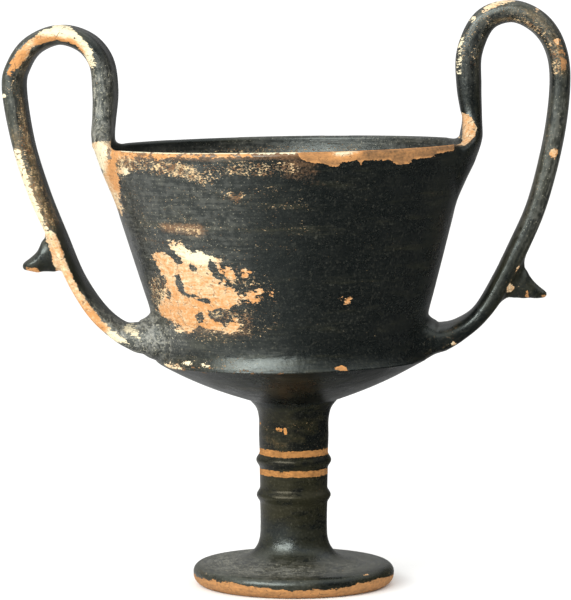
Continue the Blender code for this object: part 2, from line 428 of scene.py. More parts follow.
def makeSpur(name, side):
    slices = [(*cut, halfWidth) for cut, halfWidth in zip(spurSizes[name], spurSizes["halfWidths"])]
    run = smoothRun(slices, spurSizes["steps"])
    out, low, high, halfWidth = run[0]
    startFresh()
    bpy.ops.mesh.primitive_circle_add(
        vertices=spurSizes["sides"],
        radius=mm,
        fill_type="NGON",
        location=(out * side * mm, 0, (low + high) / 2 * mm),
        rotation=(0, math.radians(90), 0),
    )
    thorn = bpy.context.object
    thorn.name = name + "Spur"
    bpy.ops.object.mode_set(mode="EDIT")
    bpy.ops.transform.resize(value=(1, halfWidth, (high - low) / 2))
    for before, after in zip(run, run[1:]):
        outStep = (after[0] - before[0]) * side * mm
        upStep = (after[1] + after[2] - before[1] - before[2]) / 2 * mm
        taller = (after[2] - after[1]) / (before[2] - before[1])
        middle = (after[0] * side * mm, 0, (after[1] + after[2]) / 2 * mm)
        bpy.ops.mesh.extrude_region_move(TRANSFORM_OT_translate={"value": (outStep, 0, upStep)})
        bpy.ops.transform.resize(value=(1, after[3] / before[3], taller), center_override=middle)
    closeUp(thorn)
    return thorn


print("one cup: spurs and handles luted on, seams wiped smooth with a wet finger")
seamSizes = {
    "spurReach": 3.6,  # mm, how far from a seam the clay is smoothed
    "rootReach": 3.4,
    "lowRootReach": 8.5,  # the lower roots are wiped out wider
    "lowRootTop": 130.0,
    "margin": 6.0,
    "passes": 50,
    "strength": 0.5,
}


def treeOf(piece):
    faces = [polygon.vertices[:] for polygon in piece.data.polygons]
    return BVHTree.FromPolygons([vertex.co for vertex in piece.data.vertices], faces)


def lute(piece, added, reachAt):  # joins a part on and smooths the clay round the seam
    trees = (treeOf(piece), treeOf(added))
    near = readPoints(added)
    low, high = near.min(axis=0) - seamSizes["margin"], near.max(axis=0) + seamSizes["margin"]
    applyModifier(piece, "BOOLEAN", operation="UNION", solver="EXACT", object=added)
    bpy.data.objects.remove(added)
    seam = piece.vertex_groups.new(name="seam")
    points = readPoints(piece)
    for index in np.flatnonzero(np.all((points > low) & (points < high), axis=1)):
        place = Vector(points[index] * mm)
        apart = max(tree.find_nearest(place)[3] for tree in trees) / mm
        reach = reachAt(points[index])
        if apart < reach:
            seam.add([int(index)], 1 - (apart / reach) ** 2, "REPLACE")
    strength, passes = seamSizes["strength"], seamSizes["passes"]
    applyModifier(piece, "SMOOTH", factor=strength, iterations=passes, vertex_group="seam")
    piece.vertex_groups.clear()


def spurReach(point):
    return seamSizes["spurReach"]


def rootReach(point):
    return seamSizes["lowRootReach"] if point[2] < seamSizes["lowRootTop"] else seamSizes["rootReach"]


cup = body
cup.name = "kantharosCup"
for name, side in (("left", -1), ("right", 1)):
    strap = makeStrap(name, side)
    lute(strap, makeSpur(name, side), spurReach)
    lute(cup, strap, rootReach)
print("triangles", sum(len(polygon.vertices) - 2 for polygon in cup.data.polygons))


print("wear: where the slip is gone, thin, flecked or dusty")
# Outlines lie across and up in millimetres, on the side of the cup that they are listed under.
# First how far the bare clay has spread (below zero only the raggedest spots show), then its tone:
# -1 stained brown, 0 orange, 1 cream.
wornOutlines = {
    "front": (
        # the big flaked patch on the bowl, with its paler upper edge and its islands
        (3, 0.3, ((-57, 149.5), (-53, 150.3), (-49, 149.5), (-47.5, 153.5), (-43.5, 153.6), (-40, 151.8),
            (-34.5, 151), (-31.5, 149.5), (-29.5, 146.5), (-27, 144.5), (-27.5, 141.5), (-28, 138.8),
            (-25, 138), (-22, 136.5), (-19.5, 134.5), (-19.5, 130), (-23, 128), (-29, 126.6),
            (-31.5, 124.6), (-30, 122.6), (-26, 122), (-21, 121.4), (-17.5, 118.6), (-23, 116.8),
            (-32.5, 117.4), (-37, 119.5), (-39.5, 115.8), (-44, 116), (-46, 119), (-51.5, 120.6),
            (-56, 123.5), (-52, 130.5), (-51, 137.5), (-53.5, 142.5), (-57, 146.5))),
        (2, 0.3, ((-32, 149.5), (-27, 149.3), (-27, 146.2), (-29.5, 146))),
        (2, 0.2, ((-26.5, 145), (-23, 145), (-20.5, 141), (-23, 140), (-26.3, 140))),
        (2, 0.2, ((-19, 144.2), (-14.6, 144.6), (-16.5, 141.3), (-18.5, 141))),
        (2, 0.2, ((-21, 133.5), (-16, 134.7), (-10.7, 135.8), (-7.8, 133.8), (-11.4, 132.7),
            (-16.6, 131.3), (-21, 130.5))),
        (2, 0.2, ((-7.3, 136.3), (-5.2, 136), (-5.6, 133.2), (-7.5, 133.5))),
        (2, 0.2, ((-15.3, 131.7), (-11.4, 131.7), (-11.4, 130), (-15, 130))),
        (2, 0.2, ((-11.4, 137.4), (-8.8, 137.5), (-9.4, 135.8), (-11.7, 136))),
        (1, 0.3, ((-21.8, 123.2), (-19.2, 123.2), (-19.2, 121.4), (-21.8, 121.4))),
        (0.3, 0.4, ((-50, 155.7), (-44, 156.2), (-43.5, 153.6), (-48.6, 153.6))),
        (0.4, 0.4, ((-50, 117.4), (-44.5, 117), (-45, 115), (-48.6, 115.5))),
        # flakes beside the left handle's upper root, and the root's own bare wedge
        (1.5, 0.7, ((-73, 184.6), (-69, 186.4), (-66.5, 185.2), (-67, 183.4), (-70, 183.2))),
        (2.5, 0.45, ((-88, 193.5), (-82, 196.4), (-76, 196.6), (-69.5, 194.5), (-70, 191.4), (-72.6, 189),
            (-72.4, 185), (-71.6, 180), (-71.5, 172), (-70.6, 164), (-75, 169), (-80, 177.5), (-84, 181.5),
            (-88, 188))),
        # streaks just below the lip, from the left root to the middle
        (0.5, 0.1, ((-76, 195.4), (-76, 190.2), (-66, 190.6), (-50, 191.6), (-36, 192.2), (-14, 193),
            (-14, 194.2), (-40, 194.6))),
        # left handle: arch, outer edge on the way down, lower root, spur, knock on the elbow
        (1.6, 0.4, ((-121.4, 225), (-120.2, 229.5), (-116.9, 234.6), (-111.8, 240.2), (-105.4, 244.2),
            (-98.8, 246.8), (-93.6, 246.2), (-89.8, 242.4), (-85.9, 238.5), (-83.2, 233.5), (-82.4, 228),
            (-84, 226.7), (-85.5, 229.5), (-87.4, 233.9), (-90.6, 237.5), (-95, 239.4), (-100, 239.7),
            (-105.2, 238.8), (-110.2, 236.8), (-112.9, 231.8), (-116.7, 228), (-120, 223.6))),
        (0.9, 0.7, ((-120, 193), (-115.8, 193.2), (-114.8, 188), (-111.5, 178), (-104.8, 159.4),
            (-101, 155.5), (-106.5, 155.5), (-112, 166.6), (-117, 179))),
        (2.5, 0.3, ((-106.5, 156), (-100.6, 156), (-98.5, 151.6), (-96.5, 145.3), (-93.6, 138),
            (-89.7, 130.5), (-84, 122.8), (-79.3, 117.2), (-76.6, 114.6), (-73, 112.2), (-69.5, 110),
            (-69, 108.6), (-73.5, 108.8), (-77, 110.6), (-80, 113.2), (-88, 117.6), (-94, 125),
            (-98.5, 133), (-101.4, 141), (-103.6, 150.4))),
        (2, 0.9, ((-70.4, 114), (-68.6, 115.4), (-65.5, 114.8), (-64.6, 113), (-62.8, 111),
            (-63.7, 109.8), (-65.5, 111.2), (-67.3, 112.2), (-69, 112.7))),
        (1, 0, ((-114.4, 141), (-108.7, 140.4), (-107, 137.6), (-112.4, 137.6))),
        (1, 0.9, ((-126, 218), (-122.7, 217.5), (-121.8, 215.8), (-123.9, 214), (-126, 214))),
        # right handle: arch, elbow, outer leg, spur
        (1, 0.5, ((84, 252.2), (87.5, 255), (92.8, 257.4), (103, 258), (96, 256.2), (92.6, 255.2),
            (89.3, 253.8), (86.4, 252.2))),
        (1.2, 0.9, ((79.8, 249.6), (82, 250.2), (82.6, 248.6), (80.8, 247.6))),
        (1.2, 0.9, ((75.9, 239.2), (76.8, 241.4), (78, 239.8), (76.8, 238.1))),
        (0.2, 0.9, ((75, 237), (76, 242), (77.4, 242), (76.8, 236), (76.3, 226), (75, 226))),
        (0.3, -0.6, ((115.8, 240.4), (118.6, 241.4), (120, 236.8), (121.8, 231.6), (121.2, 227),
            (119.6, 227.6), (118.6, 232.5), (117.7, 236.8))),
        (1.5, 0.4, ((116, 240.5), (118.2, 241), (118.8, 238.4), (117.4, 238))),
        (1, 0.3, ((107.8, 253.8), (110.2, 254.2), (109.6, 251.8), (108.2, 251.6))),
        # ledge, wall and stem
        (1, 0.4, ((-52.6, 100.2), (-45.2, 100.3), (-45.2, 99.2), (-52.6, 98.8))),
        (-0.8, -0.9, ((-45, 99.9), (-39, 100.2), (-23.6, 100.8), (-2, 100.9), (-2, 100), (-24, 99.9),
            (-45, 99))),
        (1, 0.7, ((-37.4, 101), (-35, 102), (-33, 102), (-34, 100.8))),
        (1, 0.8, ((-44.4, 102.5), (-40.8, 102.3), (-40.8, 101.3), (-44.2, 101.4))),
        (1.2, 0.15, ((22.9, 131.4), (28.5, 132.5), (28.1, 131.2), (26.2, 129), (24.2, 130.3))),
        (0.6, -0.1, ((-3.8, 70.9), (-1.6, 71), (-1.6, 70.1), (-3.8, 70))),
    ),
    "back": (
        (3, 0.5, ((24, 138), (35, 141), (44, 137), (52, 139), (50, 131), (42, 127), (45, 121), (34, 123),
            (27, 118), (22, 124), (15, 126), (20, 131))),
        (2, 0.6, ((4, 143), (11, 145), (14, 141), (7, 139.5))),
        (1.5, 0.8, ((-30, 102), (-25, 102.8), (-23, 100.4), (-29, 99.8))),
        (1.5, 0.6, ((-36, 158), (-31, 159.5), (-29, 156.5), (-34, 155.4))),
        (1.5, 0.5, ((86, 186), (77, 197), (72, 194), (75, 180), (71, 168), (80, 178))),
        (1.5, 0.5, ((104, 158), (100, 154), (90, 131), (81, 117), (86, 116), (98, 134), (104, 149))),
        (1.5, 0.7, ((-98, 246), (-88, 240), (-83, 231), (-87, 228), (-92, 235), (-98, 240))),
        (1.5, 0.5, ((104, 254), (112, 250), (119, 241), (115, 236), (109, 243), (103, 248))),
    ),
    "inside": (
        (0.4, 0.6, ((-30, 140), (-12, 146), (6, 139), (-8, 130))),
    ),
}
# Chips with clean curved edges, where the clay itself broke or the slip came off in one piece.
chippedOutlines = {
    "front": (
        (3, -0.65, ((5, 196), (5.6, 192.4), (8, 191), (12, 190.4), (16.2, 189.4), (21.3, 188.9),
            (24, 190.2), (27, 191.2), (29.8, 191.3), (30.6, 189), (31.6, 189.4), (32.4, 191), (38.7, 191.2),
            (44, 190.9), (46, 189), (48.5, 188.3), (51, 188.8), (54.5, 190.6), (62.6, 191.6), (65.3, 192.8),
            (72.4, 193.6), (72.4, 200), (5, 200))),
        (2.5, 0.3, ((76.4, 209), (78.8, 208.2), (81.6, 206), (83.4, 202.2), (82.2, 198.6), (79.7, 196.6),
            (77, 195), (73.5, 195.5), (74, 202))),
        (2, -0.25, ((20.2, 101.4), (21, 102.5), (23.6, 103.2), (26, 102.4), (26.8, 100.5),
            (23.9, 100.3))),
        (1.5, 0.2, ((114.4, 191.4), (115.6, 193.3), (118, 194.2), (118.4, 191), (117, 187.8),
            (115.2, 189.2))),
        (1, 0.2, ((99.4, 140.5), (101.6, 141.5), (102.9, 138.8), (101.8, 137.3), (99.8, 138.6))),
        (1, 0.35, ((95.7, 132.4), (97.5, 133.8), (100.4, 132.4), (100.5, 130.8), (98.4, 129.6),
            (96.2, 130.8))),
        (0.6, -0.2, ((104.4, 130), (106.5, 130.6), (107.3, 126.6), (105.2, 127.3))),
        (0.6, -0.4, ((111.8, 128.6), (115.4, 128.8), (115, 126.4), (112.6, 126.4))),
        (1, 0.4, ((72, 109.2), (74, 109.6), (74.7, 107.4), (72.8, 106.8))),
        (1, 0.1, ((-11.8, 73.2), (-10.4, 71.6), (-8, 71.8), (-7.6, 70), (-10.3, 70.4), (-12.2, 72))),
        (1, -0.1, ((-1.5, 71.2), (1.1, 71.2), (0.4, 69.6), (1.1, 68.8), (0.6, 67.4), (-1.3, 67.6),
            (-0.6, 69.4))),
        (0.3, 0.2, ((33.6, 8.9), (36.4, 8.9), (36.2, 8.1), (33.8, 8.2))),
    ),
    "back": (
        (3, 0.3, ((-52, 199), (-52, 191.5), (-44, 190.2), (-36, 191.4), (-30, 190.4), (-22, 192.4),
            (-22, 199))),
        (2, 0.5, ((18, 200), (18, 193.2), (23, 191.8), (29, 193.4), (29, 200))),
    ),
    "inside": (),
}
# Where the bare clay has another tone than the rest of its patch.
tonedOutlines = (
    (1, ((-47, 152.6), (-44.4, 152.2), (-39.3, 152.6), (-31, 151.6), (-30.6, 148.8), (-33.5, 146.6),
        (-38, 147.2), (-41.9, 148), (-45, 149.8))),
    (0.15, ((-50, 134), (-36, 133), (-24, 131), (-20, 121), (-36, 117), (-56, 119))),
    (0.9, ((-106.5, 244), (-103, 247.5), (-99, 248), (-92, 247), (-88, 242), (-83, 236), (-81, 226),
        (-84.4, 226.4), (-86, 230.6), (-88.5, 234.5), (-92, 237.6), (-94.4, 240.6), (-99.7, 241),
        (-104.5, 242.4))),
    (-0.1, ((-123, 222), (-120.4, 231), (-117, 234.6), (-111, 236.6), (-114, 230.2), (-117.5, 226),
        (-120, 222))),
    (-0.3, ((-108, 240.6), (-100, 241.6), (-92, 240), (-87, 235), (-90, 234), (-98, 237), (-108, 237))),
    (0.95, ((-80.5, 118), (-67, 111), (-67, 105), (-80, 109))),
    (0, ((-90, 125.6), (-82, 119.7), (-77, 114.5), (-80, 109.5), (-89, 116.2), (-93, 122.4))),
    (-0.4, ((4, 198), (5, 193), (14, 191.6), (24, 188), (31, 191), (33, 198))),
    # painted highlight: the paler spot on the chipped rim stands for the light on its fracture face
    (0.7, ((19, 198), (20, 193), (24, 192.6), (31, 194.6), (31, 198))),
    (-0.5, ((48, 198), (49, 194), (56, 193.4), (62, 195), (66, 198))),
    (0.9, ((-80, 197), (-84, 188), (-82, 180), (-78, 186), (-76, 192))),
    (0, ((-74.6, 196), (-77, 188), (-76.4, 178), (-70, 172), (-70, 196))),
)
# Scraps of slip that still sit in the bare patch.
slipScraps = (
    ((-52.7, 153), (-49.3, 152.3), (-46.4, 150.2), (-43.8, 146.9), (-44.4, 145.3), (-46.8, 146.3),
        (-48.8, 148.8), (-50.9, 150.1)),
    ((-46, 140.9), (-44.4, 139), (-44.3, 135.5), (-42.9, 133.6), (-41.1, 132.2), (-42.1, 131.3),
        (-44.4, 133), (-46.1, 135.3), (-46.5, 138.7)),
    ((-40.8, 145.9), (-38.7, 145.7), (-37.8, 143.4), (-39.3, 142.6), (-40.3, 144.2)),
    ((-32.1, 147.5), (-29.7, 145.9), (-28.9, 142.9), (-26.2, 141.9), (-27, 139.7), (-29.7, 140.6),
        (-31, 142.9), (-32.5, 145)),
    ((-40.6, 132.7), (-36.7, 131.7), (-31.9, 130.2), (-31.3, 129.2), (-36.7, 130.7), (-40.6, 131.7)),
    ((-32.6, 125.9), (-29, 125.1), (-25.2, 122.1), (-22.1, 121.6), (-25.8, 120.1), (-29, 121.6),
        (-32.6, 123.4)),
    ((-51.2, 132), (-49.2, 132.6), (-48.8, 130.4), (-50.6, 129.8)),
    ((-38.4, 123.8), (-36, 125.2), (-34.6, 122.4), (-37.2, 120)),
    ((-76.2, 194), (-75.6, 194), (-75.5, 189.5), (-76.1, 189.5)),
    ((-81, 184.4), (-80.2, 184.8), (-79.8, 182), (-80.6, 181.6)),
)
# How strongly the slip is flecked through to the clay, worn thin and brown, or dusty grey; in places that
# grey is partly painted sheen and painted highlights, as marked below.
fleckedOutlines = {
    "front": (
        (2.1, ((-75, 193), (-75, 180), (-68, 184), (-58, 184.5), (-48, 183), (-38, 181), (-32, 178.5),
            (-33, 184), (-38, 190))),
        (1.6, ((-38, 190), (-32, 178), (-25, 183), (-9, 184), (6, 185), (8, 190), (5, 192))),
        (1.9, ((-28.6, 177.5), (-23.4, 179.6), (-15.7, 177.8), (-17, 174), (-21, 171.8), (-24.7, 174.4))),
        (0.8, ((-72, 182), (-30, 180), (10, 184), (14, 170), (6, 150), (-10, 146), (-58, 156), (-68, 168))),
        (1.9, ((-60, 136), (-55.6, 142.2), (-49, 137.5), (-49, 130.6), (-53.3, 123.6), (-58.4, 125.2))),
        (1.6, ((-36, 126), (-26.4, 128.3), (-18.5, 129), (-12.7, 125), (-14, 116.5), (-25, 115.6),
            (-40, 117), (-40, 122))),
        (1.3, ((-26, 147), (-19, 147), (-12, 145), (-9, 137), (-20.5, 134.5), (-26, 138))),
        (1.5, ((-53, 163), (-35, 163.6), (-32.6, 159.6), (-35, 157), (-53, 159.6))),
        (1.6, ((-64.5, 157.6), (-50, 156.6), (-50, 154.4), (-64.5, 155))),
        (1, ((-62, 156), (-56, 150), (-50, 114), (-20, 108), (0, 120), (-6, 150), (-30, 158))),
        (0.35, ((6, 184), (40, 182), (52, 160), (40, 112), (0, 106), (0, 150))),
        (1.2, ((-76, 184), (-68, 186), (-68, 160), (-64, 140), (-68, 150))),
        (1, ((-122, 224), (-112, 236), (-98, 240), (-88, 236), (-83, 228), (-88, 226), (-96, 236),
            (-106, 235), (-114, 222), (-114, 214), (-123, 214))),
        (1.6, ((-118, 217), (-113.6, 217), (-112, 204), (-109.5, 193), (-105.5, 180), (-98, 160),
            (-104, 156), (-112, 170), (-116.6, 190))),
        (1.8, ((-120, 193), (-115.8, 194), (-108, 170), (-100, 154), (-107, 154), (-114, 168))),
        (0.5, ((-85, 226), (-77, 226), (-76.5, 208), (-75.5, 198), (-78, 194), (-85, 195), (-84.6, 208))),
        (0.4, ((-76, 118), (-66, 117.5), (-57, 116), (-52, 108), (-56, 100), (-66, 105), (-76, 111))),
        (1.1, ((74.5, 228), (76, 242), (83, 252), (93, 257), (102, 255), (112, 250), (119.5, 239),
            (122, 228), (117, 224), (113.5, 237), (107.6, 245), (100, 247.4), (92, 246.4), (87, 241.5),
            (85, 233), (84.5, 226))),
        (1.7, ((95, 251), (103, 251), (110, 248), (115.5, 242), (119.6, 234), (121, 224), (114.6, 222),
            (113.6, 235), (108, 243), (101, 247), (94, 246))),
        (0.9, ((74.5, 243), (79, 249), (84, 252), (80, 242), (78, 228), (74.5, 222))),
        (1.2, ((112, 212), (116.5, 212), (115.4, 196), (110.8, 180), (104, 158), (100, 150), (107, 170),
            (112, 190))),
        (0.5, ((96, 142), (104, 146), (115, 129), (113, 125), (96, 126))),
        (0.6, ((58, 113), (70, 117), (80, 112), (76, 105), (62, 99), (52, 102))),
        (0.9, ((-12, 75), (18, 75), (18, 68), (-12, 68))),
        (1.1, ((-12, 64), (18, 64), (18, 61), (-12, 61))),
        (0.7, ((-60, 110), (-20, 108), (-8, 104), (-10, 100), (-60, 97))),
        (0.5, ((-45, 10.5), (50, 10.5), (48, 4), (-44, 4))),
    ),
    "back": (
        (1.2, ((-60, 192), (-20, 191), (30, 193), (50, 184), (10, 176), (-50, 180))),
        (1, ((-30, 150), (50, 150), (50, 108), (-20, 108))),
        (1.2, ((108, 252), (118, 240), (114, 200), (106, 200), (112, 236))),
        (1.2, ((-92, 242), (-84, 228), (-84, 205), (-76, 205), (-78, 232), (-88, 246))),
    ),
    "inside": (
        (0.2, ((-70, 196), (-60, 190), (0, 186), (60, 188), (80, 200), (0, 200))),
        (0.5, ((-60, 170), (60, 170), (45, 105), (-45, 105))),
    ),
}
thinOutlines = {
    "front": (
        (1, ((-77, 196), (-77, 189), (-55, 190), (-35, 190.6), (-16, 191.6), (5, 192.2), (9, 193),
            (9, 197))),
        (0.7, ((-53, 163.4), (-35, 164), (-32.6, 159.4), (-35, 157), (-53, 158.8))),
        (0.6, ((-64.5, 157.4), (-51, 156.6), (-51, 154.6), (-64.5, 155.2))),
        (0.5, ((-2, 195), (14, 193), (15, 182), (-2, 182))),
        (0.35, ((-52, 126), (-12, 126), (-14, 114), (-50, 114))),
        (0.5, ((-122, 224), (-112, 236), (-98, 240), (-88, 236), (-83, 228), (-88, 226), (-96, 236),
            (-106, 235), (-114, 222))),
        (0.6, ((87.8, 248.3), (92, 253), (101.1, 255), (110.8, 252.3), (117.1, 245), (121.2, 235.5),
            (123.3, 224.7), (117.8, 223.4), (117.1, 231.4), (114.9, 240.9), (109.4, 246.9), (101.1, 249.2),
            (92.6, 246.3))),
        (0.55, ((-118, 217), (-113.6, 217), (-109.5, 193), (-98, 160), (-104, 156), (-112, 170),
            (-119, 196))),
        (0.25, ((-12, 67), (18, 67), (18, 62), (-12, 62))),
    ),
    "back": (
        (0.6, ((-60, 196), (60, 199), (60, 192), (-60, 190))),
        (0.4, ((10, 144), (54, 144), (54, 112), (14, 112))),
        (0.6, ((84, 246), (100, 258), (120, 240), (112, 232), (98, 248))),
    ),
    "inside": (),
}
dustAndSheenOutlines = {
    "front": (
        # partly painted sheen: this faint grey over the upper left of the bowl is dust and also stands for
        # the broad gloss on that side
        (0.3, ((-90, 205), (-20, 205), (-16, 170), (-20, 130), (-26, 116), (-62, 116))),
        # partly painted sheen: the strong grey at the lower left root is dust and also the sheen where the
        # root blends into the wall
        (2, ((-86, 124), (-74, 122), (-60, 122), (-50, 112), (-49, 104), (-57, 100), (-66, 104),
            (-76, 110))),
        # partly painted highlight: this grey also carries the ledge's highlight further to the left
        (0.85, ((-84, 124), (-62, 126), (-48, 118), (-44, 100), (-54, 92), (-72, 100), (-86, 108))),
        (0.35, ((-130, 260), (-86, 260), (-92, 222), (-104, 222), (-100, 150), (-130, 150))),
        # painted highlight: strong grey down the left handle's inner leg stands for the bright gloss along it
        (1.8, ((-90, 225), (-79, 225), (-77, 190), (-88, 190))),
        # painted highlight: grey on the left of the ledge, lengthening the ledge's highlight
        (0.4, ((-50, 108), (-6, 108), (-6, 96), (-50, 96))),
        (0.25, ((68, 268), (128, 268), (128, 222), (68, 222))),
        # partly painted highlight: grey on the right handle's outer leg is dust and also stands for its
        # bright edge gloss
        (0.4, ((104, 222), (132, 222), (122, 150), (96, 150))),
    ),
    "back": ((0.35, ((-80, 200), (80, 200), (56, 112), (-56, 112))),),
    # partly painted reflection: grey on the far inner wall, middle and right, is dust and also the key
    # light's reflection there
    "inside": ((0.35, ((-40, 210), (90, 210), (90, 180), (-20, 186))),),
}
# Heights from the table and radii from the axis, of the cup as it was thrown.
wearRings = {
    "bareStripes": ((59.3, 1.4), (50.4, 1.4)),  # left bare on the stem: middle, half height
    "stripesWithin": 20,
    "mattShadeWithin": 30,
    "footWithin": 46,
    "handlesFrom": 83,
    "wallWithin": 84,
    "shelter": (105, 62),  # less dust lies lower than this and nearer than this
    "shelteredDust": 0.4,
    "footDustAndSheen": 1.15,
    "lip": (194.05, 194.9),  # its worn top
    "lipFrom": {"front": 77.5, "back": 80.4},
    "lipWithin": 82.4,
    "lipChipAt": 6,  # the large chip takes over from here to the right
    "bowlBelow": 194.7,
    "inBowl": ((88, 0), (89, 40), (104, 56), (109.5, 55.4), (150, 66.6), (195, 79.4)),  # height, farthest out
    "inFoot": (62.5, 31.5),
    "turnedOut": {"bowl": 0.2, "foot": -0.1},  # inner faces are turned outwards by less than this
    # the slip's lower edge round the foot: angle to the right of the front, height
    "footSlip": (
        (-180, 5), (-140, 5.8), (-100, 4.6), (-58, 5.4), (-36, 6.2), (-20, 5), (-2, 4.4), (13, 4.2),
        (26, 4), (35, 5.1), (46, 5.8), (59, 5.9), (80, 4.9), (120, 5.8), (150, 4.4), (180, 5)
    ),
}
unworn = {"bareClay": -3.6, "clayTone": 0.3, "flecked": -0.1, "thinSlip": 0.0, "dustAndSheen": 0.02}
# How fast the clay shows for each millimetre inward, how far at most, and its tone.
bareKinds = {
    "lip": (3, 1.2, 0.9),
    "stripe": (5, 4, -0.45),
    "foot": (3, 4, -0.35),
    "hollow": (1, 4, 0),
}
bareSpeeds = {"body": 1.4, "handles": 3.6, "chip": 8, "scrap": 3}
chipInset = 0.2
chipSpread = 3
scrapSpread = 1.2
# How strong a change is, and where it begins and is full: millimetres inward, across, out or up.
wearRamps = {
    "softEdge": (1, -2.5, 2.5),
    "dustEdge": (1, -14, 14),
    "chipSlope": (1 / 6, -0.6, 1.4),
    "outOfShelter": (0.6, 0, 7),
    "footShade": (0.6, -5, 35),  # painted shade: less grey dust and sheen towards the foot's shaded right
    "footEdge": (0.75, 37, 43),
    "footMiddle": (1, 16, 32),
    "footTop": (1, 20, 12),
    "footSide": (1, 4, 12),
    "stemOlive": (0.35, 84, 74),
    "footOlive": (0.45, 58, 48),
    "handleOlive": (0.6, 82, 88),
    "rightWall": (0.35, -30, 20),  # blacker on the right
    "overLedge": (1, 90, 100),
    # where the stem's reflection is dimmed: its thinner slip, and painted shade under the bowl
    "mattShadeFrom": (1, 22, 32),
    "mattShadeTo": (1, 84, 76),
}


def ramped(place, name):
    strength, start, full = wearRamps[name]
    return strength * smoothStep(place, start, full)


def insideBy(across, up, outline):  # how far inside an outline, in millimetres, below zero outside
    corners = np.array(outline, float)
    apart = np.full(len(across), np.inf)
    inside = np.zeros(len(across), bool)
    for (startX, startY), (endX, endY) in zip(corners, np.roll(corners, -1, axis=0)):
        edgeX, edgeY, x, y = endX - startX, endY - startY, across - startX, up - startY
        way = np.clip((x * edgeX + y * edgeY) / (edgeX**2 + edgeY**2), 0, 1)
        apart = np.minimum(apart, np.hypot(x - way * edgeX, y - way * edgeY))
        inside ^= ((startY > up) != (endY > up)) & (x < edgeX * y / (edgeY or 1.0))
    return np.where(inside, apart, -apart)


def wearFields(piece):  # how worn each point is, and how deep it is knocked in
    points, normals = readPoints(piece), readNormals(piece)
    radius, angle, height = asThrown(points)
    across, depth, up = points.T
    rings = wearRings
    outward = normals[:, 0] * (across - bodySizes["stemAxis"]) + normals[:, 1] * depth
    outward /= np.maximum(radius, 1)
    inBowl = (radius < np.interp(height, *np.array(rings["inBowl"]).T)) & (height < rings["bowlBelow"])
    inBowl &= outward < rings["turnedOut"]["bowl"]
    inHollow = (height < rings["inFoot"][0]) & (radius < rings["inFoot"][1])
    inHollow &= outward < rings["turnedOut"]["foot"]
    facing = {"front": (depth < 0) & ~inBowl, "back": (depth >= 0) & ~inBowl, "inside": inBowl & (depth > 0)}
    bare, tone, flecked, thin, dustAndSheen = (np.full(len(points), value) for value in unworn.values())
    knocked = np.zeros(len(points))

    def layBare(inside, speed, most, colour, where):
        shown = np.minimum(inside * speed, most)
        more = (shown > bare) & where
        bare[more] = shown[more]
        tone[more] = colour

    speed = np.where(radius > rings["handlesFrom"], bareSpeeds["handles"], bareSpeeds["body"])
    for side, here in facing.items():
        for most, colour, outline in wornOutlines[side]:
            layBare(insideBy(across, up, outline), speed, most, colour, here)
        for most, colour, outline in chippedOutlines[side]:
            inside = insideBy(across, up, outline)
            layBare(inside - chipInset, bareSpeeds["chip"], most * chipSpread, colour, here)
            np.maximum(knocked, here * most * ramped(inside, "chipSlope"), out=knocked)
        for field, outlines, edge in (
            (flecked, fleckedOutlines, "softEdge"),
            (thin, thinOutlines, "softEdge"),
            (dustAndSheen, dustAndSheenOutlines, "dustEdge"),
        ):
            for strength, outline in outlines[side]:
                worn = strength * ramped(insideBy(across, up, outline), edge)
                np.maximum(field, here * worn, out=field)

    lipFrom = np.where(depth < 0, rings["lipFrom"]["front"], rings["lipFrom"]["back"])
    lip = (radius > lipFrom) & (radius < rings["lipWithin"]) & (height < rings["lip"][1])
    lip &= (depth >= 0) | (across < rings["lipChipAt"])
    layBare(height - rings["lip"][0], *bareKinds["lip"], lip)
    for colour, outline in tonedOutlines:
        tone += facing["front"] * (colour - tone) * ramped(insideBy(across, up, outline), "softEdge")
    for outline in slipScraps:
        scrap = insideBy(across, up, outline) * bareSpeeds["scrap"] + scrapSpread
        held = facing["front"] & (scrap > -bareSpeeds["scrap"])
        bare[held] = np.minimum(bare, -scrap)[held]
    onStem = (radius < rings["stripesWithin"]) & ~inHollow
    for middle, half in rings["bareStripes"]:
        layBare(half - np.abs(height - middle), *bareKinds["stripe"], onStem)
    slipEdge = np.interp(angle, *np.array(rings["footSlip"]).T)
    layBare(slipEdge - height, *bareKinds["foot"], radius < rings["footWithin"])
    layBare(np.full(len(points), np.inf), *bareKinds["hollow"], inHollow)

    lowest, nearest = rings["shelter"]
    # Lower than the ledge's top and nearer than its edge only a share of the grey is kept; on the left of the
    # ledge that share is painted highlight.
    dustAndSheen *= rings["shelteredDust"] + ramped(np.maximum(height - lowest, radius - nearest), "outOfShelter")
    # Pale grey on the foot's top, middle and edge: partly dust, partly painted sheen, less of it towards the
    # right as painted shade.
    footDustAndSheen = rings["footDustAndSheen"] - ramped(across, "footShade") - ramped(radius, "footEdge")
    for place, name in ((radius, "footMiddle"), (height, "footTop"), (height, "footSide")):
        footDustAndSheen *= ramped(place, name)
    dustAndSheen += footDustAndSheen
    olive = ramped(height, "stemOlive") + ramped(height, "footOlive") + ramped(radius, "handleOlive")
    olive -= ramped(across, "rightWall") * ramped(height, "overLedge") * (radius < rings["wallWithin"])
    # painted shade: the stem under the bowl gets a duller, warmer reflection, partly its thinner slip and
    # partly the bowl's shade
    matt = ramped(height, "mattShadeFrom") * ramped(height, "mattShadeTo") * (radius < rings["mattShadeWithin"])
    fields = dict(zip(unworn, (bare, tone, flecked, thin, dustAndSheen)))
    return {**fields, "oliveSlip": olive, "mattShadedSlip": matt}, knocked


# How far the brush lines are drawn out, and where the straps have their own.
brushSizes = {
    "round": 6.0,
    "alongStrap": 0.12,
    "steps": 4,
    "strapsBeyond": 60.0,
    "strapsAbove": 197.0,
}


